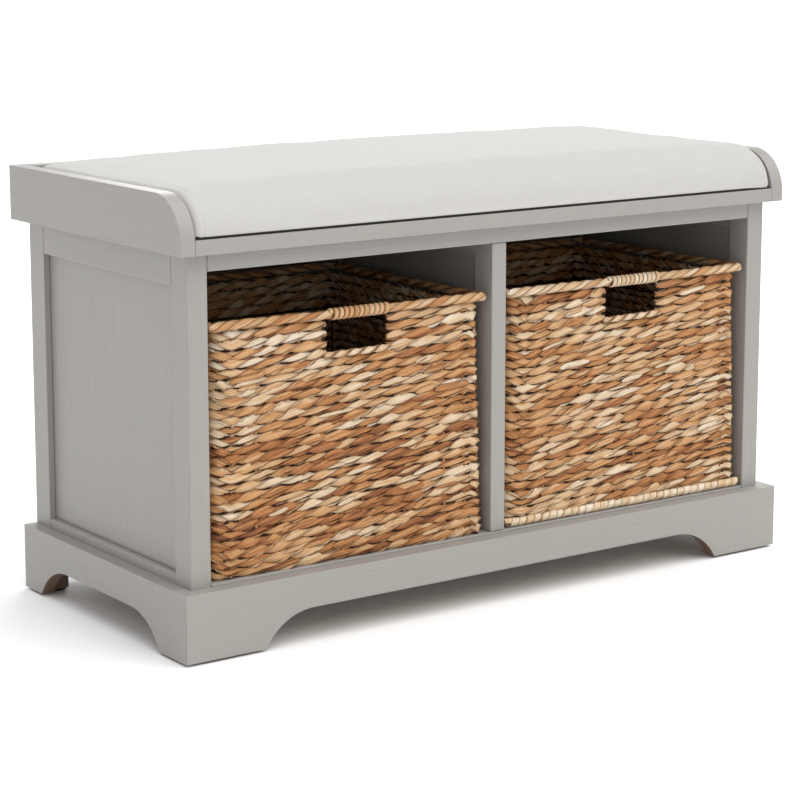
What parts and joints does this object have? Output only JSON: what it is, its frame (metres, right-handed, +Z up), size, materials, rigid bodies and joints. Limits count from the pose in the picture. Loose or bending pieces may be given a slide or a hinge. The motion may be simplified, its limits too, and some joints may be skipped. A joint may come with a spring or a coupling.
{
  "type": "entryway bench",
  "caption": "Painted storage bench with a bracket-foot plinth, a lift-off padded seat in an arched-end tray and woven baskets that slide out of open compartments.",
  "frame": {"origin": "centre of the footprint, on the floor", "axes": "+X to the bench's right as seen from the front, +Y to its back, +Z up; the front faces -Y"},
  "size_m": [0.84, 0.382, 0.502],
  "materials": {
    "grey_paint": "grey satin paint",
    "bare_wood": "bare pine",
    "linen": "off-white linen weave",
    "dust_cloth": "black non-woven dust cloth",
    "leaf_weave": "twined water hyacinth leaf",
    "leaf_wrap": "coiled water hyacinth wrap",
    "steel_wire": "dark steel wire",
    "zinc": "zinc plated",
    "glide_plastic": "dark brown plastic"
  },
  "bodies": {
    "carcass": {"plinth_front": "grey_paint", "plinth_left": "grey_paint", "plinth_right": "grey_paint", "glide_front_left": "glide_plastic", "glide_front_right": "glide_plastic", "glide_rear_left": "glide_plastic", "glide_rear_right": "glide_plastic", "front_post_left": "grey_paint", "front_post_right": "grey_paint", "rear_post_left": "grey_paint", "rear_post_right": "grey_paint", "side_top_rail_left": "grey_paint", "side_top_rail_right": "grey_paint", "side_bottom_rail_left": "grey_paint", "side_bottom_rail_right": "grey_paint", "side_panel_left": "grey_paint", "side_panel_right": "grey_paint", "face_top_rail": "grey_paint", "front_bottom_rail": "bare_wood", "floor_cleat_left": "bare_wood", "floor_cleat_right": "bare_wood", "bottom_board": "grey_paint", "back_top_rail": "grey_paint", "back_bottom_rail": "grey_paint", "back_panel": "grey_paint", "divider_front_post": "grey_paint", "divider_rear_post": "grey_paint", "divider_top_rail": "grey_paint", "divider_bottom_rail": "grey_paint", "divider_panel": "grey_paint", "seat_board": "grey_paint", "tray_rail_left": "grey_paint", "tray_rail_right": "grey_paint", "tray_rail_back": "grey_paint", "seat_screw_front_left": "zinc", "seat_screw_front_right": "zinc", "seat_screw_rear_left": "zinc", "seat_screw_rear_right": "zinc"},
    "cushion": {"cushion_pad": "linen", "cushion_base": "dust_cloth"},
    "basket_left": {"basket_left_weave": "leaf_weave", "basket_left_rim": "leaf_wrap", "basket_left_wire_frame": "steel_wire"},
    "basket_right": {"basket_right_weave": "leaf_weave", "basket_right_rim": "leaf_wrap", "basket_right_wire_frame": "steel_wire"}
  },
  "joints": [
    {"name": "basket_left_slide", "type": "slide", "parent": "carcass", "child": "basket_left", "axis": [0, -1, 0], "range_m": [0, 0.34]},
    {"name": "basket_right_slide", "type": "slide", "parent": "carcass", "child": "basket_right", "axis": [0, -1, 0], "range_m": [0, 0.34]},
    {"name": "cushion_lift", "type": "slide", "parent": "carcass", "child": "cushion", "axis": [0, 0, 1], "range_m": [0, 0.15]}
  ]
}
